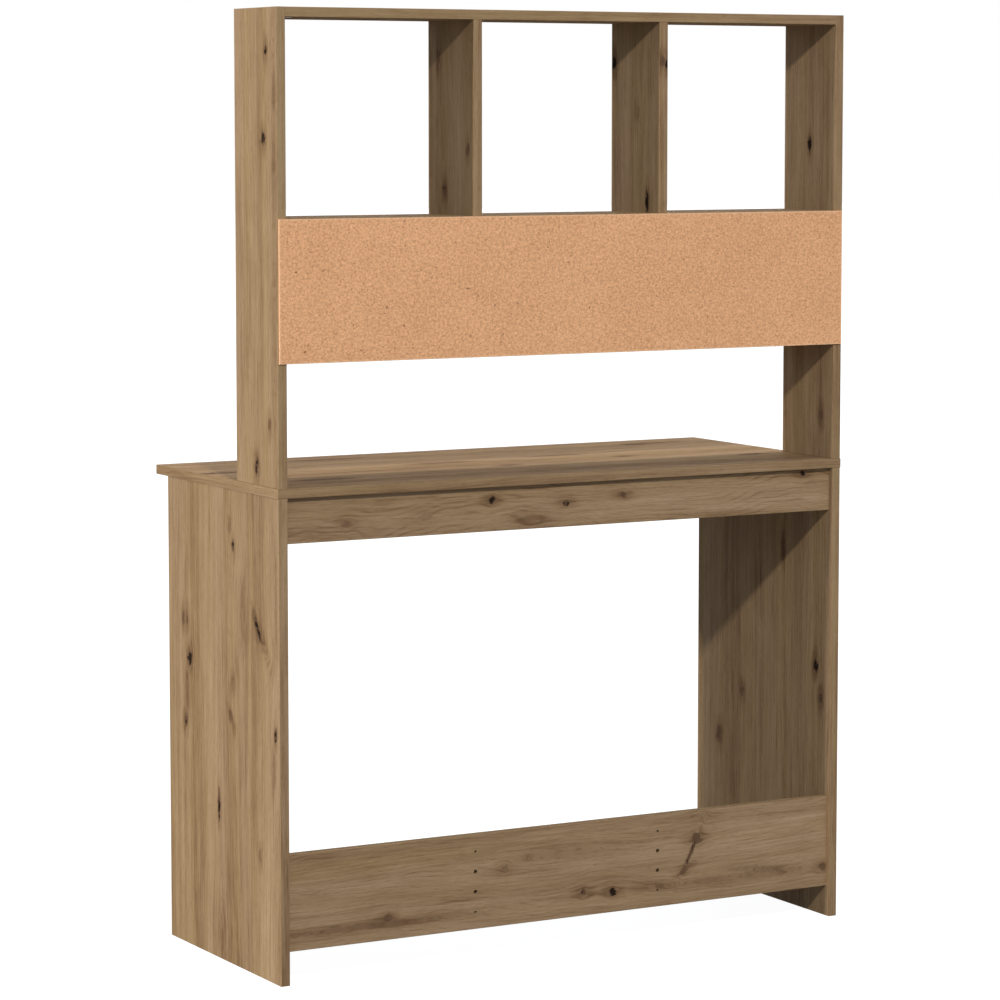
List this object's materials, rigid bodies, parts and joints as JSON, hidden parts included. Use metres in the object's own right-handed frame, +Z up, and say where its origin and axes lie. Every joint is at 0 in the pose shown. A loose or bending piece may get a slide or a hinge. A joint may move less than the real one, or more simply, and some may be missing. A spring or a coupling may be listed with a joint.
{
  "type": "study desk",
  "caption": "Flat-pack study desk with a hutch: desktop on two side boards with rear apron and bottom rail, open cubbies above a closed-back shelf compartment, clear gap over the worktop.",
  "frame": {"origin": "centre of the footprint, on the floor", "axes": "+Z up; -Y is the front, where a person sits; +Y is the rear; +X is that person's right"},
  "size_m": [1.02, 0.453, 1.48],
  "materials": {
    "oak_decor_board": "15 mm particle board faced with a matt knotty oak decor",
    "raw_hardboard": "3 mm raw hardboard, rough side out",
    "beech_dowel": "plain beech",
    "die_cast_zinc": null,
    "zinc_plated_steel": "bright zinc plate"
  },
  "bodies": {
    "root": {"desk_side_left": "oak_decor_board", "desk_side_right": "oak_decor_board", "desktop": "oak_decor_board", "desktop_cam_bolts": "zinc_plated_steel", "desktop_cam_locks": "die_cast_zinc", "divider_lower_dowels": "beech_dowel", "divider_screws": "zinc_plated_steel", "divider_upper_dowels": "beech_dowel", "hutch_back_panel": "raw_hardboard", "hutch_divider_left": "oak_decor_board", "hutch_divider_right": "oak_decor_board", "hutch_lower_shelf": "oak_decor_board", "hutch_lower_shelf_cam_bolts": "zinc_plated_steel", "hutch_lower_shelf_cam_locks": "die_cast_zinc", "hutch_lower_shelf_dowels": "beech_dowel", "hutch_side_left": "oak_decor_board", "hutch_side_right": "oak_decor_board", "hutch_side_screws": "zinc_plated_steel", "hutch_top": "oak_decor_board", "hutch_top_cam_bolts": "zinc_plated_steel", "hutch_top_cam_locks": "die_cast_zinc", "hutch_top_dowels": "beech_dowel", "hutch_upper_shelf": "oak_decor_board", "hutch_upper_shelf_cam_bolts": "zinc_plated_steel", "hutch_upper_shelf_cam_locks": "die_cast_zinc", "hutch_upper_shelf_dowels": "beech_dowel", "rear_apron": "oak_decor_board", "rear_apron_cam_bolts": "zinc_plated_steel", "rear_apron_cam_locks": "die_cast_zinc", "rear_apron_dowels": "beech_dowel", "rear_bottom_rail": "oak_decor_board", "rear_bottom_rail_cam_bolts": "zinc_plated_steel", "rear_bottom_rail_cam_locks": "die_cast_zinc", "rear_bottom_rail_dowels": "beech_dowel"}
  },
  "joints": []
}
